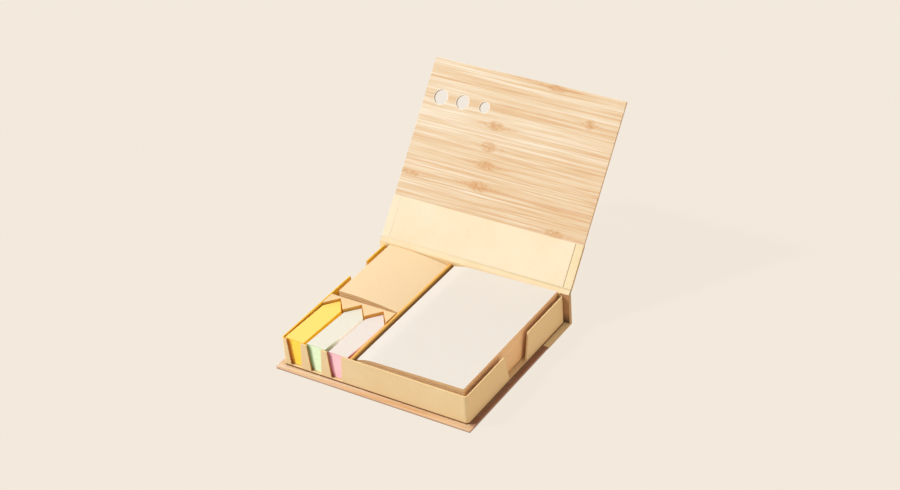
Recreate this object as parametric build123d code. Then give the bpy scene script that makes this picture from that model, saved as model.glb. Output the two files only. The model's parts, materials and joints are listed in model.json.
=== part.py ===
import math
import os

from build123d import *

# Paper stacks. They are bought in and set the size of the tray
memo_width = 81.1
memo_length = 119.8
memo_left_height = 18.3
memo_shoulder_height = 20.8
memo_right_height = 22.3
memo_shoulder = 9.5
memo_bend = 30.0
kraft_width = 47.5
kraft_length = 63.0
kraft_left_height = 20.9
kraft_right_height = 17.5
kraft_crown = 1.3
flag_width = 15.0
flag_length = 53.2
flag_point = 10.0
flag_front_heights = {"yellow": 19.6, "green": 19.9, "pink": 19.1}
flag_tip_heights = {"yellow": 17.4, "green": 16.9, "pink": 17.1}
backing_card = 0.5

# Tray of folded kraft card. Its rear wall is a single card glued to the spine
wall = 1.2
rear_wall = 0.6
floor = 1.6
wall_height = 21.7
tray_corner = 2.5
pocket_corner = 1.3
rim_round = 0.5
fold_round = 0.4
partition_width = 4.0
partition_card = 0.9
divider_shelf = 3.2
divider_leg = 1.5
divider_web = 0.6
divider_drop = 0.1
divider_bend = 0.6

# Cut-outs in the tray walls, wider at the rim than at the floor
slot_top = 11.5
slot_bottom = 8.2
slot_pitch = 16.1
slot_shift = 0.9
finger_top = 30.5
finger_bottom = 21.5
side_notch_top = 20.5
side_notch_bottom = 14.0
side_notch_forward = 1.5

# Cover of bamboo boards and kraft paper
board = 1.6
board_corner = 0.6
spine_thickness = 2.5
overhang = 4.5
side_overhang = 3.6
lid_lip = 0.2
paper = 0.25
lap = 32.5
lid_lap = 31.2
turn_in = 5.5
crease = 1.9
lid_setback = 1.0
lid_open = 130.0
fold_tension = 0.4
window_diameters = [10.8, 9.8, 7.8]
window_pitch = 17.6
window_shift = 0.1
window_setback = 26.6

# Clearances
memo_left_gap = 0.6
memo_right_gap = 2.9
memo_end_gap = 0.3
kraft_left_gap = 3.7
kraft_right_gap = 0.5
kraft_front_gap = 2.9
kraft_rear_gap = 0.3
flag_spacing = 2.25
flag_front_gap = 0.4
flag_tip_gap = 0.5
prong_setback = 0.4
fit_gap = 0.15
seat_gap = 0.1
seam_gap = 0.1
lid_gap = 0.25

# Tray plan, worked out from what stands in it
flag_count = len(flag_front_heights)
flag_pitch = flag_width + flag_spacing
note_bay = max(kraft_left_gap + kraft_width + kraft_right_gap, flag_count * flag_pitch)
memo_bay = memo_left_gap + memo_width + memo_right_gap
tray_width = 2 * wall + note_bay + partition_width + memo_bay
divider_depth = flag_tip_gap + divider_web + divider_leg
note_depth = flag_front_gap + flag_length + divider_depth + kraft_front_gap + kraft_length + kraft_rear_gap
bay_depth = max(note_depth, memo_length + 2 * memo_end_gap)
tray_depth = wall + bay_depth + rear_wall

# Frame: the origin is the middle of the base board's underside
cover_width = tray_width + 2 * side_overhang
base_depth = overhang + tray_depth + paper
base_front = -base_depth / 2
spine_front = base_depth / 2
spine_back = spine_front + spine_thickness
wrap_front = spine_back - lap
tray_left = -tray_width / 2
tray_front = base_front + overhang
bay_left = tray_left + wall
bay_front = tray_front + wall
bay_rear = bay_front + bay_depth
bay_right = bay_left + note_bay
bay_middle = (bay_left + bay_right) / 2
memo_left = bay_right + partition_width + memo_left_gap
memo_right = memo_left + memo_width
memo_rear = bay_rear - memo_end_gap
memo_front = memo_rear - memo_length
kraft_right = bay_right - kraft_right_gap
kraft_left = kraft_right - kraft_width

# Levels
floor_top = board + floor
wall_top = board + wall_height
stack_base = floor_top + seat_gap
stack_seat = stack_base + backing_card
memo_height = max(memo_left_height, memo_shoulder_height, memo_right_height)
flags_height = max(*flag_front_heights.values(), *flag_tip_heights.values())
kraft_middle_height = (kraft_left_height + kraft_right_height) / 2 + kraft_crown
kraft_height = max(kraft_left_height, kraft_middle_height, kraft_right_height)
inside_top = max(wall_top, stack_seat + max(memo_height, flags_height, kraft_height))
hinge_height = inside_top + lid_gap + paper
spine_top = hinge_height - crease
hinge_axis = Axis((0, spine_back, hinge_height), (-1, 0, 0))

# The lid is drawn closed, then turned open about the hinge
lid_rear = spine_back - lid_setback
lid_front = base_front - lid_lip
lid_wrap_front = spine_back - lid_lap
lid_inside = hinge_height
lid_outside = lid_inside + board

# Flags stand behind their slots and point into the divider's notches
slots = [bay_middle - slot_shift + (i - (flag_count - 1) / 2) * slot_pitch for i in range(flag_count)]
flag_middles = [bay_middle + (i - (flag_count - 1) / 2) * flag_pitch for i in range(flag_count)]
flag_front = bay_front + flag_front_gap
flag_tip = flag_front + flag_length
notch_bottom = flag_tip + flag_tip_gap
prong_tip = flag_tip - flag_point + prong_setback
divider_rear = notch_bottom + divider_web + divider_leg
kraft_front = divider_rear + kraft_front_gap
kraft_rear = kraft_front + kraft_length
kraft_middle = (kraft_front + kraft_rear) / 2


def block(x_low, x_high, y_low, y_high, z_low, z_high):
    size = (x_high - x_low, y_high - y_low, z_high - z_low)
    middle = Pos((x_low + x_high) / 2, (y_low + y_high) / 2, (z_low + z_high) / 2)
    return middle * Box(*size)


def rounded_block(x_low, x_high, y_low, y_high, z_low, z_high, corner):
    plan = RectangleRounded(x_high - x_low, y_high - y_low, corner)
    return extrude(Pos((x_low + x_high) / 2, (y_low + y_high) / 2, z_low) * plan, z_high - z_low)


def outline(*points):
    return make_face(Polyline(*points, close=True))


def along_x(face, x_low, x_high):
    """Extrudes a (y, z) section from x_low to x_high."""
    return extrude(Plane((x_low, 0, 0), (0, 1, 0), (1, 0, 0)) * face, x_high - x_low)


def along_y(face, y_low, y_high):
    """Extrudes an (x, z) section from y_low to y_high."""
    return extrude(Plane((0, y_high, 0), (1, 0, 0), (0, -1, 0)) * face, y_high - y_low)


def cut_out(middle, bottom, top):
    """Section of a cut-out that starts at the tray floor and leaves through the rim."""
    above = wall_top + wall
    flare = (top - bottom) / 2 * (above - floor_top) / (wall_top - floor_top)
    return outline(
        (middle - bottom / 2, floor_top),
        (middle + bottom / 2, floor_top),
        (middle + bottom / 2 + flare, above),
        (middle - bottom / 2 - flare, above),
    )


def make_tray():
    """Three double walls, and a single rear wall that runs up the spine to the crease."""
    tray_right = -tray_left
    tray_rear = tray_front + tray_depth
    body = rounded_block(tray_left, tray_right, tray_front, tray_rear, board, wall_top, tray_corner)
    body -= rounded_block(
        bay_left, tray_right - wall, bay_front, bay_rear, floor_top, wall_top, pocket_corner
    )
    body = fillet(body.edges().group_by(Axis.Z)[-1], min(rim_round, 0.48 * min(wall, rear_wall)))
    body = fillet(body.edges().group_by(Axis.Z)[0], fold_round)
    straight = tray_right - tray_corner
    body += block(-straight, straight, bay_rear, tray_rear, wall_top - wall, spine_top - seam_gap)
    for middle in slots:
        body -= along_y(cut_out(middle, slot_bottom, slot_top), tray_front - wall, bay_front + fit_gap)
    tray_middle = tray_front + tray_depth / 2
    finger = cut_out(tray_middle, finger_bottom, finger_top)
    body -= along_x(finger, tray_right - wall - fit_gap, tray_right + wall)
    side = cut_out(kraft_middle - side_notch_forward, side_notch_bottom, side_notch_top)
    body -= along_x(side, tray_left - wall, bay_left + fit_gap)
    return body


def arch(middle, half, shoulder):
    """Upright section with a round top, standing on the tray floor."""
    legs = outline(
        (middle - half, floor_top),
        (middle + half, floor_top),
        (middle + half, shoulder),
        (middle - half, shoulder),
    )
    return legs + Pos(middle, shoulder) * Circle(half)


def make_partition():
    """One strip of card folded over at the rim, open below."""
    outer = partition_width / 2
    inner = outer - partition_card
    middle = bay_right + outer
    shoulder = wall_top - outer
    section = arch(middle, outer, shoulder) - arch(middle, inner, shoulder)
    return along_y(section, bay_front + fit_gap, bay_rear - fit_gap)


def make_divider():
    """A shelf with one arrow notch for each flag stack, carried by a leg behind them."""
    top = wall_top - divider_drop
    section = outline(
        (prong_tip, top),
        (divider_rear, top),
        (divider_rear, floor_top),
        (divider_rear - divider_leg, floor_top),
        (divider_rear - divider_leg, top - divider_shelf),
        (prong_tip, top - divider_shelf),
    )
    body = along_x(section, bay_left + fit_gap, bay_right - fit_gap)
    bend = body.edges().filter_by(Axis.X).sort_by(Axis.Z)[-2:].sort_by(Axis.Y)[-1]
    body = fillet(bend, divider_bend)
    for middle in flag_middles:
        left = middle - flag_pitch / 2
        right = middle + flag_pitch / 2
        arrow = outline((left, prong_tip), (right, prong_tip), (middle, notch_bottom))
        body -= extrude(Pos(0, 0, top - divider_shelf) * arrow, divider_shelf)
    return body


def make_memo_pad():
    """The thick stack has slumped towards the partition, so its top falls away on the left."""
    shoulder = (memo_left + memo_shoulder, stack_seat + memo_shoulder_height)
    section = outline(
        (memo_left, stack_seat),
        (memo_right, stack_seat),
        (memo_right, stack_seat + memo_right_height),
        shoulder,
        (memo_left, stack_seat + memo_left_height),
    )
    section = fillet(section.vertices().sort_by_distance((*shoulder, 0))[0], memo_bend)
    return along_y(section, memo_front, memo_rear)


def make_kraft_pad():
    """The stack has been thumbed, so it stands higher on the left and its top is crowned."""
    top_left = (kraft_left, stack_seat + kraft_left_height)
    top_right = (kraft_right, stack_seat + kraft_right_height)
    crown = ((kraft_left + kraft_right) / 2, stack_seat + kraft_middle_height)
    top = ThreePointArc(top_right, crown, top_left)
    sides = Polyline(top_left, (kraft_left, stack_seat), (kraft_right, stack_seat), top_right)
    section = make_face([*top.edges(), *sides.edges()])
    return along_y(section, kraft_front, kraft_rear)


def flag_plan(index):
    """Arrow outline that runs from the front wall to the bottom of its notch."""
    middle = flag_middles[index]
    left = middle - flag_width / 2
    right = middle + flag_width / 2
    shoulder = flag_tip - flag_point
    return outline(
        (left, flag_front),
        (right, flag_front),
        (right, shoulder),
        (middle, flag_tip),
        (left, shoulder),
    )


def make_flags(index, front_height, tip_height):
    """The sheets are gummed at the point, so their loose ends in front stand higher."""
    height = max(front_height, tip_height)
    body = extrude(Pos(0, 0, stack_seat) * flag_plan(index), height)
    slope = outline(
        (flag_front, stack_seat + front_height),
        (flag_tip, stack_seat + tip_height),
        (flag_tip, stack_seat + height + flag_front_gap),
        (flag_front, stack_seat + height + flag_front_gap),
    )
    return body - along_x(slope, flag_middles[index] - flag_width, flag_middles[index] + flag_width)


def make_flag_backing(index):
    return extrude(Pos(0, 0, stack_base) * flag_plan(index), backing_card)


def make_cover_wrap(boards):
    """One sheet let in under the base and laid up the spine, its ends turned over the board edges."""
    half = cover_width / 2 + paper
    section = outline(
        (wrap_front, 0),
        (spine_back + paper, 0),
        (spine_back + paper, spine_top),
        (spine_front - paper, spine_top),
        (spine_front - paper, board + paper),
        (wrap_front, board + paper),
    )
    body = along_x(section, -half, half)
    outer_corner = body.edges().filter_by(Axis.X).group_by(Axis.Z)[0].sort_by(Axis.Y)[-1]
    body = fillet(outer_corner, paper)
    for piece in boards:
        body -= piece
    base_clear = tray_width / 2 + seam_gap
    body -= block(-base_clear, base_clear, wrap_front, spine_front - paper, board, board + paper)
    spine_clear = cover_width / 2 - turn_in
    return body - block(-spine_clear, spine_clear, spine_front - paper, spine_front, board, spine_top)


def make_spine_lining():
    half = cover_width / 2 - turn_in - seam_gap
    return block(-half, half, spine_front - paper, spine_front, board, spine_top)


def make_base_board():
    """A plain board with a shallow rebate below, where the wrap lies flush."""
    half = cover_width / 2
    body = rounded_block(-half, half, base_front, spine_front, 0, board, board_corner)
    return body - block(-half, half, wrap_front, spine_front, 0, paper)


def open_lid(piece):
    return piece.rotate(hinge_axis, lid_open)


def make_lid_board():
    half = cover_width / 2
    body = rounded_block(-half, half, lid_front, lid_rear, lid_inside, lid_outside, board_corner)
    first = bay_middle - window_shift - window_pitch * (len(window_diameters) - 1) / 2
    for index, diameter in enumerate(window_diameters):
        place = Pos(first + index * window_pitch, lid_front + window_setback, lid_inside)
        body -= extrude(place * Circle(diameter / 2), board)
    return body


def make_lid_wrap(lid_board):
    half = cover_width / 2
    edge = half + paper
    body = block(-edge, edge, lid_wrap_front, lid_rear, lid_inside - paper, lid_outside + paper)
    body -= lid_board
    inner = half - turn_in
    return body - block(-inner, inner, lid_wrap_front, lid_rear, lid_inside - paper, lid_inside)


def make_lid_lining():
    half = cover_width / 2 - turn_in - seam_gap
    return block(-half, half, lid_wrap_front, lid_rear, lid_inside - paper, lid_inside)


def make_fold(spine_y, lid_z):
    """Free paper from the spine's top edge to the lid's rear edge, in the open lid's place."""
    turn = math.radians(lid_open)
    along = (-math.cos(turn), math.sin(turn))
    upward = (math.sin(turn), math.cos(turn))
    reach = lid_setback - seam_gap
    end = (
        spine_back + along[0] * reach + upward[0] * (lid_z - hinge_height),
        hinge_height + along[1] * reach + upward[1] * (lid_z - hinge_height),
    )
    middle_line = Spline(
        (spine_y, spine_top), end, tangents=((0, 1), along), tangent_scalars=(fold_tension, fold_tension)
    )
    half = cover_width / 2 + paper
    return along_x(trace(middle_line, paper), -half, half)


base_board = make_base_board()
spine_board = block(-cover_width / 2, cover_width / 2, spine_front, spine_back, paper, spine_top)
lid_board = make_lid_board()

parts = {
    "base_board": base_board,
    "spine_board": spine_board,
    "cover_wrap": make_cover_wrap([base_board, spine_board]),
    "spine_lining": make_spine_lining(),
    "hinge_outer_fold": make_fold(spine_back + paper / 2, lid_outside + paper / 2),
    "hinge_inner_fold": make_fold(spine_front - paper / 2, lid_inside - paper / 2),
    "lid_board": open_lid(lid_board),
    "lid_wrap": open_lid(make_lid_wrap(lid_board)),
    "lid_lining": open_lid(make_lid_lining()),
    "tray": make_tray(),
    "bay_partition": make_partition(),
    "flag_divider": make_divider(),
    "memo_backing": block(memo_left, memo_right, memo_front, memo_rear, stack_base, stack_seat),
    "memo_pad": make_memo_pad(),
    "kraft_backing": block(kraft_left, kraft_right, kraft_front, kraft_rear, stack_base, stack_seat),
    "kraft_pad": make_kraft_pad(),
}
for index, colour in enumerate(flag_front_heights):
    parts[f"{colour}_backing"] = make_flag_backing(index)
    parts[f"{colour}_flags"] = make_flags(index, flag_front_heights[colour], flag_tip_heights[colour])

os.makedirs("parts", exist_ok=True)
for name, piece in parts.items():
    export_step(piece, f"parts/{name}.step")
print(f"tray {tray_width:.1f} x {tray_depth:.1f}, cover {cover_width:.1f} x {base_depth:.1f}")
print(f"hinge at y {spine_back:.2f}, z {hinge_height:.2f}")
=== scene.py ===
import json
import math
import random

import bmesh
import bpy
from mathutils import Matrix, Vector

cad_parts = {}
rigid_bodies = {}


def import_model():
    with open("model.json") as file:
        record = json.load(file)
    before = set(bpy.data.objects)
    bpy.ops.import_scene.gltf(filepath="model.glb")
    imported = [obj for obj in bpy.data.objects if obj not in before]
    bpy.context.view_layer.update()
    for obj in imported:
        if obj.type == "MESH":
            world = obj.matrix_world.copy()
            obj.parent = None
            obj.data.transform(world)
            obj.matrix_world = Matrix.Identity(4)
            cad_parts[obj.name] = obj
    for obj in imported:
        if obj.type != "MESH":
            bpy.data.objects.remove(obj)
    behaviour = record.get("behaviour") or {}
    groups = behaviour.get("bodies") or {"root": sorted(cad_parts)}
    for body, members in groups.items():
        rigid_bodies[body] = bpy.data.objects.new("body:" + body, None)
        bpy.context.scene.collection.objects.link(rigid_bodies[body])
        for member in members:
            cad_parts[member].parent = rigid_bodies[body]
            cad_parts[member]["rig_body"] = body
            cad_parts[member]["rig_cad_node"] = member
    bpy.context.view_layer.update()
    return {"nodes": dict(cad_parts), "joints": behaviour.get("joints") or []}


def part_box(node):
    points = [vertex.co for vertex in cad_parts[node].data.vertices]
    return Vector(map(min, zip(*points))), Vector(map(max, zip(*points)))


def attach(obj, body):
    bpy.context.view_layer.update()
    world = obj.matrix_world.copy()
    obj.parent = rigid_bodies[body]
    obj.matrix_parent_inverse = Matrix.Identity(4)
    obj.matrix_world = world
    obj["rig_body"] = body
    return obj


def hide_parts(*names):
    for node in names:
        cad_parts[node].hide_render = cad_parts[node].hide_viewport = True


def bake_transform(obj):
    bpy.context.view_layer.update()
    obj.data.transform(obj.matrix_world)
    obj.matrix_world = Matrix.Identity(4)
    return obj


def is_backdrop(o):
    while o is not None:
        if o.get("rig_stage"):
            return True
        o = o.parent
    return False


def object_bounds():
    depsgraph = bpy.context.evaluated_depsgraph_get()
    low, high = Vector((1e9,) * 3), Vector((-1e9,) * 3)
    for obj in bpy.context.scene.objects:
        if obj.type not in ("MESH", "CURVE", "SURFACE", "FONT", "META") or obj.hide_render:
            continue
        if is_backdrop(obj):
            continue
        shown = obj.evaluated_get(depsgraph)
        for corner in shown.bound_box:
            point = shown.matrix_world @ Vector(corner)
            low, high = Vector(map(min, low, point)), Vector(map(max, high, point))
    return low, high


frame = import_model()
nodes = frame["nodes"]
joints = {joint["name"]: joint for joint in frame["joints"]}
hingePlace = Vector(joints["lid_hinge"]["pos_m"])
lidOpen = -joints["lid_hinge"]["range_deg"][0]  # degrees from shut to the stored pose
mm = 0.001
print("frame loaded,", len(nodes), "nodes, lid open", lidOpen)

bpy.context.scene.view_settings.view_transform = "Standard"


# Camera, solved from the straight edges of the lid, the base and the tray
cameraView = {
    "target": (0.0360, -0.01298, 0.09917),
    "distance": 1.2623,
    "azimuth": 34.18,
    "elevation": 33.13,
    "roll": -4.45,
    "lens": 80.71,
    "sensor": 36,
}


def makeCamera(setting):
    azimuth, elevation, roll = (math.radians(setting[k]) for k in ("azimuth", "elevation", "roll"))
    back = Vector((
        math.sin(azimuth) * math.cos(elevation),
        -math.cos(azimuth) * math.cos(elevation),
        math.sin(elevation),
    ))
    level = Vector((0, 0, 1)).cross(back).normalized()
    upright = back.cross(level)
    right = level * math.cos(roll) + upright * math.sin(roll)
    up = upright * math.cos(roll) - level * math.sin(roll)
    turn = Matrix((right, up, back)).transposed().to_4x4()
    bpy.ops.object.camera_add()
    camera = bpy.context.object
    camera.name = "photoCamera"
    camera.matrix_world = Matrix.Translation(Vector(setting["target"]) + back * setting["distance"]) @ turn
    camera.data.lens = setting["lens"]
    camera.data.sensor_width = setting["sensor"]
    bpy.context.scene.camera = camera


makeCamera(cameraView)
print("camera set")


# Shared material tools
def hexColour(code):  # sRGB to linear, by the curve of the standard
    channels = [int(code[i:i + 2], 16) / 255 for i in (0, 2, 4)]
    linear = [c / 12.92 if c <= 0.04045 else ((c + 0.055) / 1.055) ** 2.4 for c in channels]
    return (*linear, 1)


def addNode(tree, kind, inputs=None, **settings):
    node = tree.nodes.new(kind)
    for name, value in settings.items():
        setattr(node, name, value)
    for name, value in (inputs or {}).items():
        if isinstance(value, bpy.types.NodeSocket):
            tree.links.new(value, node.inputs[name])
        else:
            node.inputs[name].default_value = value
    return node


def newMaterial(name):
    material = bpy.data.materials.new(name)
    material.use_nodes = True
    tree = material.node_tree
    shader = tree.nodes["Principled BSDF"]
    return material, tree, shader


# What a material can go by: X, Y and Z are the place in mm, and faceX, faceY and faceZ are the way
# the surface faces, from -1 to 1. A turn and a shift lay the open lid flat first
def measureSurface(tree, turn=0, shift=(0, 0, 0)):
    place = addNode(tree, "ShaderNodeTexCoord")
    sized = addNode(tree, "ShaderNodeMapping", {
        "Vector": place.outputs["Object"],
        "Location": shift,
        "Rotation": (turn, 0, 0),
        "Scale": (1 / mm, 1 / mm, 1 / mm),
    }).outputs["Vector"]
    facing = addNode(tree, "ShaderNodeMapping", {
        "Vector": place.outputs["Normal"], "Rotation": (turn, 0, 0)}, vector_type="VECTOR").outputs["Vector"]
    measures = {}
    for prefix, vector in (("", sized), ("face", facing)):
        axes = addNode(tree, "ShaderNodeSeparateXYZ", {"Vector": vector})
        for axis in "XYZ":
            measures[prefix + axis] = axes.outputs[axis]
    return sized, measures


# A wash gives part of a surface another tone. Each row of its where names a measure, the value at which
# the wash starts, the value at which it is full and, if it doesn't fade to nothing, the least share.
# The rows are multiplied, most is the share where all are full, and within are washes on the wash
def layWashes(tree, colour, measures, washes):
    for wash in washes:
        tone = layWashes(tree, hexColour(wash["tone"]), measures, wash.get("within", []))
        share = wash["most"]
        for measure, start, full, *least in wash["where"]:
            reach = addNode(tree, "ShaderNodeMapRange", {
                "Value": measures[measure], "From Min": start, "From Max": full,
                "To Min": least[0] if least else 0})
            share = addNode(tree, "ShaderNodeMath", {
                0: share, 1: reach.outputs[0]}, operation="MULTIPLY").outputs[0]
        colour = addNode(tree, "ShaderNodeMix", {
            0: share, 6: colour, 7: tone}, data_type="RGBA").outputs[2]
    return colour


# Places that the washes are measured from, mm
trayLow, trayHigh = (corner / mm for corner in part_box("tray"))
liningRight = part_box("lid_lining")[1].x / mm
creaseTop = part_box("hinge_inner_fold")[1].z / mm
reliefDepth = 0.05 * mm  # of the grain, the fibres and the sheet edges


def finishSurface(tree, shader, colour, relief, strength, roughness):
    bump = addNode(tree, "ShaderNodeBump", {
        "Height": relief, "Strength": strength, "Distance": reliefDepth})
    tree.links.new(colour, shader.inputs["Base Color"])
    tree.links.new(bump.outputs[0], shader.inputs["Normal"])
    shader.inputs["Roughness"].default_value = roughness


# Bamboo: flat-pressed strips glued edge to edge and sanded. The eye sees long fine fibres,
# a change of tone from strip to strip and the brown knuckles where the cane had its joints
bambooLook = {
    "stripWidth": 14.4,
    "toneSeed": 182,  # picks which strips are pale and which are dark
    "stripTone": 0.03,  # how far a strip's tone may be from the middle one
    "stripShift": 40,  # how far a strip's grain may be moved, in its own lengths and widths
    "cornerTone": (-140, 110, 0.025, -0.065),  # x + y at opposite corners, mm, and the tone added at each
    # Length and width in mm, detail, roughness, and whether each strip has its own stretch of it.
    # The single fibres are drawn coarser than real, so that they show
    "grains": {
        "broad": (85, 2.6, 4, 0.62, True),
        "fine": (46, 0.8, 3, 0.62, True),
        "fibre": (150, 1.3, 4, 0.6, False),
        "mottle": (2.941, 1.4286, 5, 0.65, False),
    },
    "fineShare": 0.45,
    "washes": [
        {"tone": "cf9c68", "most": 0.75, "where": [("fibre", 0.56, 0.70)]},  # dark fibres
        {"tone": "efe1d0", "most": 0.75, "where": [("fibre", 0.44, 0.30)]},  # pale fibres
        {"tone": "c48a52", "most": 1, "where": [("fromJoint", 0.3, 0), ("broad", 0, 1)]},  # glue lines
    ],
    "knuckle": {"tone": "c58943", "most": 1, "where": [("knuckle", 0, 1), ("mottle", 0.4, 0.6, 0.25)]},
    "smudges": [(1, 1, 0.9), (2.6, 0.34, 0.6)],  # a knuckle's spot and streak: length, width and strength
    "smudgeCore": 0.4,  # share of a smudge's reach where it is strongest
    "cutAngle": 60,  # what is turned farther than this from the face is a cut edge, degrees
    "relief": 0.15,
    "roughness": 0.55,
}
windowRow = {"firstX": -62.0, "pitch": 17.6, "y": -38.1, "radii": (5.4, 4.9, 3.9)}  # with the lid shut, mm
windowRim = ("windowGap", 0.45, 0.27)  # mm outside a window, where its rim starts and where it is full
farAway = 1000  # mm, farther from a window than any point of a board
# Knuckles are x, y with the lid shut, then their reach along and across the fibres, mm
lidBamboo = {
    "turn": lidOpen,
    "firstJoint": 6.2,  # a glue line between strips, from the frame's middle, mm
    "knuckles": [
        (-14.0, -27.4, 9, 4.5), (-14.8, -12.4, 8, 5), (-12.5, 0.4, 10, 4.5), (-13.5, 15.6, 11, 5),
        (22.5, -62.6, 11, 3.5), (54.0, -43.6, 5, 4.5), (51.5, 33.4, 10, 3.5), (-68.0, 18.4, 14, 2.5),
    ],
    "tones": [(0.32, "cd9a68"), (0.43, "d8b88c"), (0.55, "dfcaaa"), (0.69, "efe2cf")],
    "windows": [
        (windowRow["firstX"] + windowRow["pitch"] * place, windowRow["y"], radius)
        for place, radius in enumerate(windowRow["radii"])
    ],
    "onFace": [{"tone": "f3e7d2", "most": 1, "where": [windowRim]}],  # a pale rim round each window
    "onEdge": [{"tone": "d2a678", "most": 0.7, "where": [], "within": [
        {"tone": "9c8264", "most": 1, "where": [windowRim]},  # the window walls are darker still: painted shade
    ]}],
    "allOver": [],
}
baseBamboo = {
    "turn": 0,
    "firstJoint": 3.0,
    "knuckles": [
        (-38, -57, 9, 4), (31, -42, 9, 4.5), (22, -28, 8, 4),
        (-52, -13, 9, 5), (47, 2, 9, 4), (-20, 15, 8, 4),
    ],
    "tones": [(0.32, "ce9664"), (0.43, "d9b185"), (0.55, "e2c39f"), (0.69, "eed9bf")],
    "windows": [],
    "onFace": [],
    "onEdge": [{"tone": "dba681", "most": 0.7, "where": []}],
    "allOver": [
        # painted shadow: the lip to the right of the tray is dark, where the tray's shadow falls, and the
        # foot of the cut edges is dark too
        {"tone": "8d513b", "most": 0.8, "where": [
            ("X", trayHigh.x - 0.375, trayHigh.x + 0.825), ("Y", trayLow.y - 1.525, trayLow.y + 1.475)]},
        {"tone": "6e4a34", "most": 0.8, "where": [("Z", 0.7, 0.35), ("cut", 0, 1)]},
    ],
}


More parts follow.
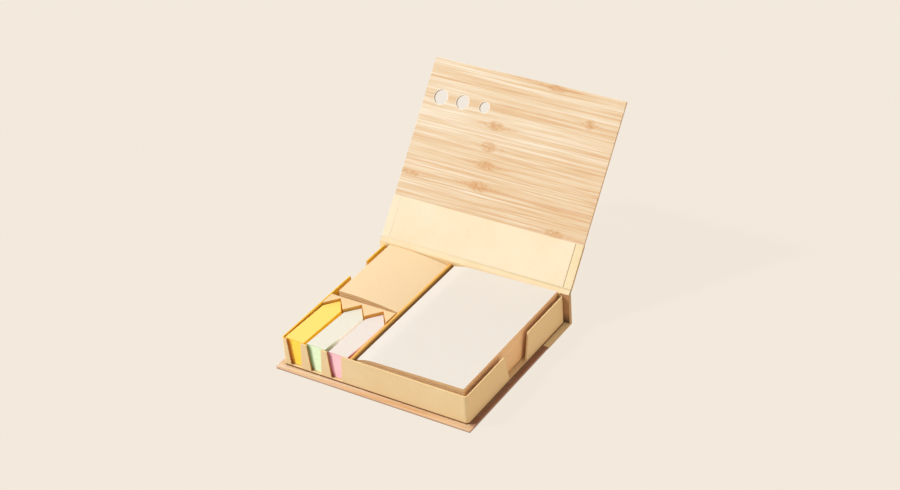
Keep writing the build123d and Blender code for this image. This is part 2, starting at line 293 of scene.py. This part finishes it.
def bamboo(name, look, board):
    material, tree, shader = newMaterial(name)
    turn = math.radians(board["turn"])
    shift = (hingePlace - Matrix.Rotation(turn, 3, "X") @ hingePlace) / mm
    flat, measures = measureSurface(tree, turn, shift)

    # Strips, each with its own stretch of the broad and the fine grain
    fromFirst = addNode(tree, "ShaderNodeMath", {
        0: measures["Y"], 1: board["firstJoint"]}, operation="SUBTRACT").outputs[0]
    measures["fromJoint"] = addNode(tree, "ShaderNodeMath", {
        0: fromFirst, 1: look["stripWidth"] / 2}, operation="PINGPONG").outputs[0]
    strips = addNode(tree, "ShaderNodeMath", {0: fromFirst, 1: look["stripWidth"]}, operation="DIVIDE")
    number = addNode(tree, "ShaderNodeMath", {0: strips.outputs[0]}, operation="FLOOR").outputs[0]
    own = addNode(tree, "ShaderNodeTexWhiteNoise", {"W": number}, noise_dimensions="1D")
    offset = addNode(tree, "ShaderNodeVectorMath", {
        0: own.outputs["Color"], 1: [look["stripShift"]] * 3}, operation="MULTIPLY")
    for grain, (length, width, detail, roughness, perStrip) in look["grains"].items():
        squeezed = addNode(tree, "ShaderNodeVectorMath", {
            0: flat, 1: (1 / length, 1 / width, 0)}, operation="MULTIPLY").outputs[0]
        if perStrip:
            squeezed = addNode(tree, "ShaderNodeVectorMath", {
                0: squeezed, 1: offset.outputs[0]}, operation="ADD").outputs[0]
        measures[grain] = addNode(tree, "ShaderNodeTexNoise", {
            "Vector": squeezed, "Scale": 1.0, "Detail": detail, "Roughness": roughness}).outputs["Fac"]

    # Tone: the grain, with a change from strip to strip and from corner to corner
    mixed = addNode(tree, "ShaderNodeMix", {
        0: look["fineShare"], 2: measures["broad"], 3: measures["fine"]})
    seeded = addNode(tree, "ShaderNodeMath", {0: number, 1: look["toneSeed"]}, operation="ADD")
    picked = addNode(tree, "ShaderNodeTexWhiteNoise", {"W": seeded.outputs[0]}, noise_dimensions="1D")
    stripTone = addNode(tree, "ShaderNodeMapRange", {
        "Value": picked.outputs["Value"], "To Min": -look["stripTone"], "To Max": look["stripTone"]})
    diagonal = addNode(tree, "ShaderNodeMath", {0: measures["X"], 1: measures["Y"]}, operation="ADD")
    start, end, paler, darker = look["cornerTone"]
    cornerTone = addNode(tree, "ShaderNodeMapRange", {
        "Value": diagonal.outputs[0], "From Min": start, "From Max": end, "To Min": paler, "To Max": darker})
    tone = mixed.outputs[0]
    for change in (stripTone, cornerTone):
        tone = addNode(tree, "ShaderNodeMath", {0: tone, 1: change.outputs[0]}, operation="ADD").outputs[0]
    ramp = addNode(tree, "ShaderNodeValToRGB", {"Fac": tone})
    stops = ramp.color_ramp.elements
    while len(stops) < len(board["tones"]):
        stops.new(0.5)
    for stop, (position, code) in zip(stops, board["tones"]):
        stop.position = position
        stop.color = hexColour(code)

    # Knuckles, each a brown spot and a streak along the fibres, which the mottle makes ragged
    smudged = 0
    for x, y, reachX, reachY in board["knuckles"]:
        gap = addNode(tree, "ShaderNodeVectorMath", {0: flat, 1: (x, y, 0)}, operation="SUBTRACT")
        for longer, wider, most in look["smudges"]:
            scaled = addNode(tree, "ShaderNodeVectorMath", {
                0: gap.outputs[0], 1: (1 / (longer * reachX), 1 / (wider * reachY), 0)}, operation="MULTIPLY")
            reach = addNode(tree, "ShaderNodeVectorMath", {0: scaled.outputs[0]}, operation="LENGTH")
            spot = addNode(tree, "ShaderNodeMapRange", {
                "Value": reach.outputs["Value"],
                "From Min": 1, "From Max": look["smudgeCore"], "To Max": most,
            }, interpolation_type="SMOOTHSTEP")
            smudged = addNode(tree, "ShaderNodeMath", {
                0: smudged, 1: spot.outputs[0]}, operation="MAXIMUM").outputs[0]
    measures["knuckle"] = smudged

    # Distance from the nearest window's edge
    level = addNode(tree, "ShaderNodeVectorMath", {0: flat, 1: (1, 1, 0)}, operation="MULTIPLY")
    windowGap = farAway
    for x, y, radius in board["windows"]:
        middle = addNode(tree, "ShaderNodeVectorMath", {
            0: level.outputs[0], 1: (x, y, 0)}, operation="DISTANCE")
        gap = addNode(tree, "ShaderNodeMath", {0: middle.outputs["Value"], 1: radius}, operation="SUBTRACT")
        windowGap = addNode(tree, "ShaderNodeMath", {
            0: windowGap, 1: gap.outputs[0]}, operation="MINIMUM").outputs[0]
    measures["windowGap"] = windowGap

    # Faces show the knuckles, and cut edges are a little darker
    square = addNode(tree, "ShaderNodeMath", {0: measures["faceZ"]}, operation="ABSOLUTE")
    cut = addNode(tree, "ShaderNodeMath", {
        0: square.outputs[0], 1: math.cos(math.radians(look["cutAngle"]))}, operation="LESS_THAN")
    measures["cut"] = cut.outputs[0]
    timber = layWashes(tree, ramp.outputs["Color"], measures, look["washes"])
    face = layWashes(tree, timber, measures, [look["knuckle"], *board["onFace"]])
    edge = layWashes(tree, timber, measures, board["onEdge"])
    edged = addNode(tree, "ShaderNodeMix", {0: cut.outputs[0], 6: face, 7: edge}, data_type="RGBA")
    colour = layWashes(tree, edged.outputs[2], measures, board["allOver"])
    finishSurface(tree, shader, colour, measures["fine"], look["relief"], look["roughness"])
    return material


# Kraft paper and card: unbleached pulp, rolled but not coated. It is matt, cloudy over
# centimetres and flecked by short fibres. Each look's own washes follow the photograph
kraftPulp = {
    "cloudNoise": {"Detail": 5, "Roughness": 0.6},
    "fibreNoise": {"Scale": 1.0, "Detail": 4, "Roughness": 0.7, "Distortion": 0.6},
    "cloudSpan": (0.3, 0.7),
    "fleckSpan": (0.56, 0.78),
    "fleckMost": 0.4,
    "endSpan": (0.8, 0.95),  # how squarely a cut end faces left or right
    "endMost": 0.85,
    "relief": 0.08,
}
# Cloud is the width of a cloud, and fibre the length and width of a fleck, mm
liningLook = {
    # the sheet's cut ends take a dark brown edge tone, painted shade
    "light": "efdfc2", "dark": "ead7b3", "fleck": "d9bb8b", "edge": "8f6230",
    "cloud": 28, "fibre": (3.2, 0.7), "roughness": 0.82,
    # painted shadow: a dark line runs just inside the sheet's right edge, where its raised edge casts a
    # shadow
    "washes": [{"tone": "a07440", "most": 0.75, "where": [("X", liningRight - 0.525, liningRight - 0.325)]}],
}
foldLook = {
    # the fold is the lining's paper drawn a little darker and yellower: painted shade
    "light": "eedab4", "dark": "e8d1a6", "fleck": "d3b27c", "edge": "c99a62",
    "cloud": 20, "fibre": (3.0, 0.7), "roughness": 0.85,
    # painted shade along the crease, which grows greyer towards the right
    "washes": [{"tone": "c2a568", "most": 0.5, "where": [
        ("Z", creaseTop - 0.95, creaseTop - 0.25), ("X", -30, 60)]}],
}
lidWrapLook = {
    "light": "ecdbb3", "dark": "e6d2a6", "fleck": "cdaa72", "edge": "c99a62",
    "cloud": 24, "fibre": (3.0, 0.7), "roughness": 0.82,
    # the turn-in at the left end is as pale as the lining
    "washes": [{"tone": "efdfc2", "most": 0.85, "where": [("X", -60, -60.01), ("faceY", -0.3, -0.5)]}],
}
spineWrapLook = {
    # the same paper as the lid wrap, drawn paler: painted light for the turn-in beside the tray, which lies
    # in shade
    "light": "fee7b9", "dark": "f5d9a4", "fleck": "d6ad72", "edge": "b88a54",
    "cloud": 24, "fibre": (3.0, 0.7), "roughness": 0.82,
    # painted shade: to the right of the tray the side turned to it is brown, and darkest at the foot, in the
    # shadow of the tray
    "washes": [
        {"tone": "aa764c", "most": 0.9, "where": [("X", 0, 0.01), ("faceY", -0.7, -0.9)], "within": [
            {"tone": "40240f", "most": 0.95, "where": [("Z", 10, 3)]},
        ]},
    ],
}
cardLook = {
    "light": "eed3a4", "dark": "e8c995", "fleck": "cfa368", "edge": "ecc892",
    "cloud": 26, "fibre": (3.4, 0.8), "roughness": 0.72,
    "washes": [
        # the rolled rims are a deeper gold; the extra gold towards the left, beside the yellow flags, is
        # painted reflected light
        {"tone": "f0b84e", "most": 0.6, "where": [
            ("Z", trayHigh.z - 4.6, trayHigh.z - 4.59), ("faceZ", 0.4, 0.9), ("X", -40, -66, 0.333)]},
        # painted shade: the sides of the front slots that face right are brown
        {"tone": "b06c22", "most": 0.85, "where": [
            ("Y", trayLow.y + 1.975, trayLow.y + 1.965), ("X", 0, -0.01), ("faceX", 0.5, 0.8)]},
        # painted reflected light and shade: the inside of the left wall is yellow, lit by the flags beside it
        {"tone": "ffcb3c", "most": 0.95, "where": [
            ("X", trayLow.x + 0.175, trayLow.x + 0.185), ("X", trayLow.x + 1.475, trayLow.x + 1.465),
            ("rightAndUp", 0.3, 0.7)]},
        # painted shade: a dark line runs along the foot, where the card meets the base
        {"tone": "774509", "most": 0.95, "where": [("Z", trayLow.z + 1.55, trayLow.z + 1.0)]},
    ],
}
dividerLook = {
    "light": "f4d6a5", "dark": "eecb96", "fleck": "d2a569", "edge": "dd9a48",
    "cloud": 26, "fibre": (3.4, 0.8), "roughness": 0.72,
    # the upright cut edges are deeper in colour than the rolled face: painted shade with painted reflected
    # light from the flags
    "washes": [{"tone": "e6a93e", "most": 0.9, "where": [("upOrDown", 0.6, 0.3)]}],
}
partitionLook = {
    "light": "f0bb5c", "dark": "e6a946", "fleck": "c08034", "edge": "c98a3c",
    "cloud": 26, "fibre": (3.4, 0.8), "roughness": 0.72,
    # painted shade: the side turned to the memo pad is dark
    "washes": [{"tone": "7d5420", "most": 0.9, "where": [("faceX", 0.1, 0.75)]}],
}
backingLook = {
    "light": "dcb57f", "dark": "cfa56c", "fleck": "a87c48", "edge": "cfa56c",
    "cloud": 14, "fibre": (2.0, 0.9), "roughness": 0.88,
    "washes": [],
}
boardLook = {
    "light": "a79b8b", "dark": "91867a", "fleck": "6f665c", "edge": "91867a",
    "cloud": 14, "fibre": (2.0, 0.9), "roughness": 0.9,
    "washes": [],
}


def kraft(name, look, pulp=kraftPulp):
    material, tree, shader = newMaterial(name)
    sized, measures = measureSurface(tree)
    measures["cloud"] = addNode(tree, "ShaderNodeTexNoise", {
        "Vector": sized, "Scale": 1 / look["cloud"], **pulp["cloudNoise"]}).outputs["Fac"]
    length, width = look["fibre"]
    squeezed = addNode(tree, "ShaderNodeVectorMath", {
        0: sized, 1: (1 / length, 1 / width, 1 / width)}, operation="MULTIPLY")
    measures["fibre"] = addNode(tree, "ShaderNodeTexNoise", {
        "Vector": squeezed.outputs[0], **pulp["fibreNoise"]}).outputs["Fac"]
    for measure, axis in (("leftOrRight", "faceX"), ("upOrDown", "faceZ")):
        measures[measure] = addNode(tree, "ShaderNodeMath", {
            0: measures[axis]}, operation="ABSOLUTE").outputs[0]
    measures["rightAndUp"] = addNode(tree, "ShaderNodeMath", {
        0: measures["faceX"], 1: measures["faceZ"]}, operation="ADD").outputs[0]
    colour = layWashes(tree, hexColour(look["light"]), measures, [
        {"tone": look["dark"], "most": 1, "where": [("cloud", *pulp["cloudSpan"])]},
        {"tone": look["fleck"], "most": pulp["fleckMost"], "where": [("fibre", *pulp["fleckSpan"])]},
        {"tone": look["edge"], "most": pulp["endMost"], "where": [("leftOrRight", *pulp["endSpan"])]},
        *look["washes"],
    ])
    finishSurface(tree, shader, colour, measures["fibre"], pulp["relief"], look["roughness"])
    return material


# Note paper: smooth uncoated sheets in a stack. The face is even, and the sides are deeper
# in colour and ruled by the sheet edges, drawn coarser than real so that they show
noteSheets = {
    "line": (60, 0.45),  # length and height of a drawn sheet edge, mm
    "lineNoise": {"Scale": 1.0, "Detail": 3, "Roughness": 0.7},
    "lineSpan": (0.5, 0.8),
    "lineMost": 0.6,
    "pulp": 2.5,  # width of the faint clouds on the face, mm
    "pulpNoise": {"Detail": 6, "Roughness": 0.7},
    "pulpSpan": (0.4, 0.8),
    "pulpMost": 0.16,
    "squarely": (0.49, 0.51),  # a surface that faces one way more than this belongs to that side
    "relief": 0.2,
}
memoLook = {
    "face": "e3ddd4", "side": "fecf98", "line": "dca064", "roughness": 0.7,
    # painted shade: the front edges are browner than the sides
    "washes": [{"tone": "dcb27c", "most": 1, "where": [("faceY", -0.49, -0.51)]}],
}
kraftNoteLook = {"face": "f3d6aa", "side": "e2bd86", "line": "b98d55", "roughness": 0.75, "washes": []}
# Flags have their sides darkest at the left of each front slot, a painted shadow of the slot's side. The
# right flank goes from its first tone, a deeper painted shade, to its second towards the rear. Own is a
# painted glow that the paper gives off, on the flank too, where it also has a first and a second value. On
# the green and pink flags the flank's paler second tone and stronger glow paint light over the shade between
# the stacks
flagLooks = {
    "yellow": {
        "face": "f3d869", "side": "ffdb4c", "line": "f6bc28", "deep": "da7a08", "flank": ("f0a412", "f0a412"),
        "own": 0.07, "flankGlow": (0.6, 0.6), "slot": 0, "roughness": 0.6,
    },
    "green": {
        "face": "ded9c9", "side": "e2f5cd", "line": "c4e2a8", "deep": "789c5c", "flank": ("b7d196", "e0ecd4"),
        "own": 0.12, "flankGlow": (0.12, 0.7), "slot": 1, "roughness": 0.6,
    },
    "pink": {
        "face": "dfd6cc", "side": "fac3cb", "line": "eba8b6", "deep": "bb5f76", "flank": ("d87886", "f3e0d2"),
        "own": 0.12, "flankGlow": (0.12, 0.5), "slot": 2, "roughness": 0.6,
    },
}
frontSlots = {
    "rim": trayHigh.z - 1.3,  # height just under the rolled rim, mm
    "firstLeft": trayLow.x + 4.325,  # x of the first slot's left side at that height, mm
    "pitch": 16.1,
    "lean": 0.082,  # how far a slot's left side moves in for each mm down
    "deepReach": (3.4, 0.2),  # from a slot's left side, where the painted shadow starts and is full, mm
    "pit": "7c4414",  # painted shade in the corner at a slot's foot
    "pitHeight": 4.5,
    "pitMost": 0.85,
    "crest": (0.6, 0.3),  # below the top, where the sheets take the flank's tone, mm
    "crestMost": 0.6,
    "flankFade": (-56, -42),  # y between which the flank changes its tone, mm
}


def flagWashes(look, low, high, slots=frontSlots):
    foot, top = low.z / mm, high.z / mm
    besideSlot = ("fromSlot", *slots["deepReach"])
    crestStart, crestFull = slots["crest"]
    near, far = look["flank"]
    return [
        # painted shadow of each slot's side, and painted shade in the corner at its foot
        {"tone": look["deep"], "most": 1, "where": [besideSlot]},
        {"tone": slots["pit"], "most": slots["pitMost"], "where": [
            ("Z", foot + slots["pitHeight"], foot), besideSlot]},
        {"tone": near, "most": slots["crestMost"], "where": [("Z", top - crestStart, top - crestFull)]},
        {"tone": near, "most": 1, "where": [("faceX", *noteSheets["squarely"])], "within": [
            {"tone": far, "most": 1, "where": [("Y", *slots["flankFade"])]},
        ]},
    ]


def notePaper(name, look, washes, sheets=noteSheets):
    material, tree, shader = newMaterial(name)
    sized, measures = measureSurface(tree)
    length, height = sheets["line"]
    ruled = addNode(tree, "ShaderNodeVectorMath", {
        0: sized, 1: (1 / length, 1 / length, 1 / height)}, operation="MULTIPLY")
    measures["sheets"] = addNode(tree, "ShaderNodeTexNoise", {
        "Vector": ruled.outputs[0], **sheets["lineNoise"]}).outputs["Fac"]
    measures["pulp"] = addNode(tree, "ShaderNodeTexNoise", {
        "Vector": sized, "Scale": 1 / sheets["pulp"], **sheets["pulpNoise"]}).outputs["Fac"]
    if "slot" in look:
        slotLeft = frontSlots["firstLeft"] + frontSlots["pitch"] * look["slot"]
        upright = addNode(tree, "ShaderNodeMath", {
            0: measures["Z"], 1: frontSlots["lean"], 2: measures["X"]}, operation="MULTIPLY_ADD")
        measures["fromSlot"] = addNode(tree, "ShaderNodeMath", {
            0: upright.outputs[0], 1: slotLeft + frontSlots["lean"] * frontSlots["rim"],
        }, operation="SUBTRACT").outputs[0]
    colour = layWashes(tree, hexColour(look["side"]), measures, [
        {"tone": look["line"], "most": sheets["lineMost"], "where": [("sheets", *sheets["lineSpan"])]},
        *washes,
        {"tone": look["face"], "most": 1, "where": [("faceZ", *sheets["squarely"])], "within": [
            {"tone": look["side"], "most": sheets["pulpMost"], "where": [("pulp", *sheets["pulpSpan"])]},
        ]},
    ])
    finishSurface(tree, shader, colour, measures["sheets"], sheets["relief"], look["roughness"])
    # painted glow: the flag paper gives off light of its own, which on the right flank changes from a first
    # to a second strength towards the rear
    if "own" in look:
        start, end = frontSlots["flankFade"]
        near, far = look["flankGlow"]
        flankGlow = addNode(tree, "ShaderNodeMapRange", {
            "Value": measures["Y"], "From Min": start, "From Max": end, "To Min": near, "To Max": far})
        askew, squarely = sheets["squarely"]
        flank = addNode(tree, "ShaderNodeMapRange", {
            "Value": measures["faceX"], "From Min": askew, "From Max": squarely})
        glow = addNode(tree, "ShaderNodeMix", {
            0: flank.outputs[0], 2: look["own"], 3: flankGlow.outputs[0]})
        tree.links.new(colour, shader.inputs["Emission Color"])
        tree.links.new(glow.outputs[0], shader.inputs["Emission Strength"])
    return material


lidBambooFinish = bamboo("bambooLid", bambooLook, lidBamboo)
baseBambooFinish = bamboo("bambooBase", bambooLook, baseBamboo)
liningFinish = kraft("kraftLiningPaper", liningLook)
foldFinish = kraft("kraftFoldPaper", foldLook)
lidWrapFinish = kraft("kraftLidWrap", lidWrapLook)
spineWrapFinish = kraft("kraftSpineWrap", spineWrapLook)
backingFinish = kraft("kraftBackingCard", backingLook)
cardFinish = kraft("kraftTrayCard", cardLook)
dividerFinish = kraft("kraftDividerCard", dividerLook)
partitionFinish = kraft("kraftPartitionCard", partitionLook)
boardFinish = kraft("greyBoard", boardLook)
memoFinish = notePaper("memoPaper", memoLook, memoLook["washes"])
kraftNoteFinish = notePaper("kraftNotePaper", kraftNoteLook, kraftNoteLook["washes"])
flagFinishes = {
    colour: notePaper(colour + "FlagPaper", look, flagWashes(look, *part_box(colour + "_flags")))
    for colour, look in flagLooks.items()
}

nodeFinishes = {
    "lid_board": lidBambooFinish,
    "base_board": baseBambooFinish,
    "lid_lining": liningFinish,
    "spine_lining": liningFinish,
    "lid_wrap": lidWrapFinish,
    "cover_wrap": spineWrapFinish,
    "spine_board": boardFinish,
    "tray": cardFinish,
    "bay_partition": partitionFinish,
    "flag_divider": dividerFinish,
    **{stack + "_backing": backingFinish for stack in ("memo", "kraft", *flagLooks)},
}
for nodeName, finish in nodeFinishes.items():
    for materialSlot in nodes[nodeName].material_slots:
        materialSlot.material = finish
print("finishes made")


# Shared modelling tools
smoothAngle = math.radians(35)  # edges sharper than this stay crisp
slack = 0.01 * mm  # for finding the points at one end of a solid


def deselectAll():
    bpy.ops.object.select_all(action="DESELECT")


def selectWhere(piece, test):
    mesh = bmesh.from_edit_mesh(piece.data)
    for vert in mesh.verts:
        vert.select = test(vert.co)
    mesh.select_flush_mode()
    bmesh.update_edit_mesh(piece.data)


# Draws the open mesh in edit mode out into a closed solid, and leaves edit mode
def drawOut(way):
    bpy.ops.mesh.select_all(action="SELECT")
    bpy.ops.mesh.extrude_region_move(TRANSFORM_OT_translate={"value": way})
    bpy.ops.mesh.select_all(action="SELECT")
    bpy.ops.mesh.normals_make_consistent(inside=False)
    bpy.ops.object.mode_set(mode="OBJECT")


def applyPlace(piece):
    deselectAll()
    piece.select_set(True)
    bpy.context.view_layer.objects.active = piece
    bpy.ops.object.transform_apply(location=True, rotation=True, scale=True)


def stackSheets(sheet, name, places):
    copies = []
    for place, turn in places:
        copy = sheet.copy()
        copy.data = sheet.data.copy()
        copy.location = place
        copy.rotation_euler = (0, 0, turn)
        bpy.context.collection.objects.link(copy)
        copies.append(copy)
    bpy.data.objects.remove(sheet)
    deselectAll()
    for copy in copies:
        copy.select_set(True)
    bpy.context.view_layer.objects.active = copies[0]
    bpy.ops.object.join()
    stack = bpy.context.object
    stack.name = name
    applyPlace(stack)
    return stack


def dress(piece, finish):
    piece.data.materials.clear()
    piece.data.materials.append(finish)


# Hinge: the free paper at the crease. One end of the solid is kept and
# drawn out to the other, so that the paper lies in straight even rows
foldSetting = {
    "finishes": {"hinge_outer_fold": spineWrapFinish, "hinge_inner_fold": foldFinish},
    "weld": 0.001 * mm,  # joins the loose triangles of the solid's mesh
}


def makeFold(nodeName, setting):
    low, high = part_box(nodeName)
    fold = nodes[nodeName].copy()
    fold.data = nodes[nodeName].data.copy()
    fold.parent = None
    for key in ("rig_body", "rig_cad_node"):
        del fold[key]
    fold.name = nodeName + "_paper"
    bpy.context.collection.objects.link(fold)
    deselectAll()
    fold.select_set(True)
    bpy.context.view_layer.objects.active = fold
    bpy.ops.object.mode_set(mode="EDIT")
    bpy.ops.mesh.select_all(action="SELECT")
    bpy.ops.mesh.remove_doubles(threshold=setting["weld"])
    selectWhere(fold, lambda co: co.x > low.x + slack)
    bpy.ops.mesh.delete(type="VERT")
    drawOut((high.x - low.x, 0, 0))
    bpy.ops.object.shade_smooth_by_angle(angle=smoothAngle)
    dress(fold, setting["finishes"][nodeName])
    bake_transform(fold)
    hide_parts(nodeName)
    print(nodeName, "has", len(fold.data.vertices), "points")


for foldName in foldSetting["finishes"]:
    makeFold(foldName, foldSetting)


# Thick pads: one sheet copied upwards, then the stack takes the solid's own top line.
# Places are rounded, so that corners that the solid's loose triangles share count once
def topLine(nodeName, axis):
    low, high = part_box(nodeName)
    verts = [v.co for v in nodes[nodeName].data.vertices if v.co.z > (low.z + high.z) / 2]
    return sorted({(round(v[axis], 7), round(v.z, 7)) for v in verts})


def heightAt(line, place):
    for (start, z0), (end, z1) in zip(line, line[1:]):
        if place <= end:
            return z0 + (z1 - z0) * max(0, (place - start) / (end - start))
    return line[-1][1]


def swell(stack, nodeName, axis):
    low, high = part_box(nodeName)
    line = topLine(nodeName, axis)
    for vert in stack.data.vertices:
        share = (heightAt(line, vert.co[axis]) - low.z) / (high.z - low.z)
        vert.co.z = low.z + (vert.co.z - low.z) * share


def makePad(nodeName, body, finish, slotName, setting):
    low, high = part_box(nodeName)
    middle = (low + high) / 2
    size = high - low
    thickness = size.z / setting["sheets"]
    columns, rows = setting["grid"]
    deselectAll()
    bpy.ops.mesh.primitive_grid_add(x_subdivisions=columns, y_subdivisions=rows, size=1)
    sheet = bpy.context.object
    sheet.scale = (size.x - 2 * setting["drift"], size.y - 2 * setting["drift"], 1)
    applyPlace(sheet)
    bpy.ops.object.mode_set(mode="EDIT")
    drawOut((0, 0, thickness))
    chance = random.Random(setting["seed"])
    places = []
    for layer in range(setting["sheets"]):
        drift = [chance.uniform(-1, 1) * setting["drift"] for _ in range(2)]
        places.append(((middle.x + drift[0], middle.y + drift[1], low.z + layer * thickness), 0))
    pad = stackSheets(sheet, slotName + "_sheets", places)
    swell(pad, nodeName, 0)
    bpy.ops.object.shade_smooth_by_angle(angle=smoothAngle)
    dress(pad, finish)
    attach(pad, body)
    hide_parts(nodeName)


# Memo pad: a thick stack that has slumped towards the partition
memoSetting = {"sheets": 40, "grid": (40, 4), "drift": 0.10 * mm, "seed": 4}
makePad("memo_pad", "memo", memoFinish, "memo_paper", memoSetting)

# Kraft notes: a stack that is higher on the left
kraftSetting = {"sheets": 36, "grid": (24, 4), "drift": 0.12 * mm, "seed": 9}
makePad("kraft_pad", "kraft", kraftNoteFinish, "kraft_notes", kraftSetting)


# Arrow flags: each stack is one sheet drawn from a rectangle with a point, copied upwards
flagSetting = {"sheets": 32, "drift": 0.08 * mm, "sway": 0.12, "seed": 21}  # sway in degrees


def flagCorners(nodeName, low):
    verts = [v.co for v in nodes[nodeName].data.vertices if v.co.z < low.z + slack]
    corners = sorted({(round(v.x, 6), round(v.y, 6)) for v in verts}, key=lambda c: c[1])
    frontA, frontB, shoulderA, shoulderB, tip = [Vector(c) for c in corners]
    return (frontA + frontB) / 2, (frontA - frontB).length, (shoulderA + shoulderB) / 2, tip


def makeFlags(colour, setting):
    nodeName = colour + "_flags"
    low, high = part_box(nodeName)
    front, width, shoulder, tip = flagCorners(nodeName, low)
    length = (tip - front).length
    square = (shoulder - front).length
    thickness = (high.z - low.z) / setting["sheets"]
    deselectAll()
    bpy.ops.mesh.primitive_plane_add(size=1)
    sheet = bpy.context.object
    sheet.scale = (width - 2 * setting["drift"], square, 1)
    sheet.location = (0, square / 2, 0)
    applyPlace(sheet)
    bpy.ops.object.mode_set(mode="EDIT")
    selectWhere(sheet, lambda co: co.y > square / 2)
    bpy.ops.mesh.extrude_edges_move(TRANSFORM_OT_translate={"value": (0, length - square, 0)})
    bpy.ops.mesh.merge(type="CENTER")
    drawOut((0, 0, thickness))
    chance = random.Random(setting["seed"] + len(colour))
    places = []
    for layer in range(setting["sheets"]):
        drift = [chance.uniform(-1, 1) * setting["drift"] for _ in range(2)]
        sway = math.radians(chance.uniform(-1, 1) * setting["sway"])
        places.append(((front.x + drift[0], front.y + drift[1], low.z + layer * thickness), sway))
    stack = stackSheets(sheet, colour + "_sheets", places)
    swell(stack, nodeName, 1)
    dress(stack, flagFinishes[colour])
    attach(stack, colour)
    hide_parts(nodeName)


for flagColour in flagLooks:
    makeFlags(flagColour, flagSetting)
print("paper stacks made")


# Floor and light: a pale table, a soft key from the front left and an even sky
stageSetting = {
    "floor": "f2e9dc",
    "floorRoughness": 0.9,
    "glow": 0.965,  # share of the floor's colour that is its own light, which thins the shadow
    "floorSize": 80,  # metres, so that low views end in floor
    "sky": 0.30,
    "lightHeight": 0.8,
    "lights": {
        # strength, elevation, the way its shadows point, its spread in degrees and its colour
        "keyLight": (3.1, 45, (0.842, 0.54), 6, "ffffff"),
        "sideFill": (0.8, 8, (-1.0, 0.15), 40, "ffe4b8"),
        "backFill": (0.7, 25, (0.3, -1.0), 60, "ffffff"),
    },
}


def makeStage(setting):
    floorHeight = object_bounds()[0].z
    deselectAll()
    bpy.ops.mesh.primitive_plane_add(size=setting["floorSize"], location=(0, 0, floorHeight))
    floor = bpy.context.object
    floor.name = "floor"
    material, tree, shader = newMaterial("paleTable")
    shader.inputs["Base Color"].default_value = hexColour(setting["floor"])
    shader.inputs["Roughness"].default_value = setting["floorRoughness"]
    shader.inputs["Specular IOR Level"].default_value = 0.0
    glow = addNode(tree, "ShaderNodeEmission", {"Color": hexColour(setting["floor"])})
    share = addNode(tree, "ShaderNodeMixShader", {
        0: setting["glow"], 1: shader.outputs[0], 2: glow.outputs[0]})
    tree.links.new(share.outputs[0], tree.nodes["Material Output"].inputs["Surface"])
    floor.data.materials.append(material)
    floor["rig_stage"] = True

    world = bpy.data.worlds.new("evenSky")
    bpy.context.scene.world = world
    world.use_nodes = True
    sky = world.node_tree.nodes["Background"]
    sky.inputs["Color"].default_value = (1, 1, 1, 1)
    sky.inputs["Strength"].default_value = setting["sky"]

    for name, (strength, elevation, shadows, spread, colour) in setting["lights"].items():
        rise = math.radians(elevation)
        heading = Vector(shadows).normalized() * math.cos(rise)
        bpy.ops.object.light_add(type="SUN", location=(-heading.x, -heading.y, setting["lightHeight"]))
        light = bpy.context.object
        light.name = name
        downwards = Vector((heading.x, heading.y, -math.sin(rise)))
        light.rotation_euler = downwards.to_track_quat("-Z", "Y").to_euler()
        light.data.energy = strength
        light.data.color = hexColour(colour)[:3]
        light.data.angle = math.radians(spread)


makeStage(stageSetting)
print("stage set")
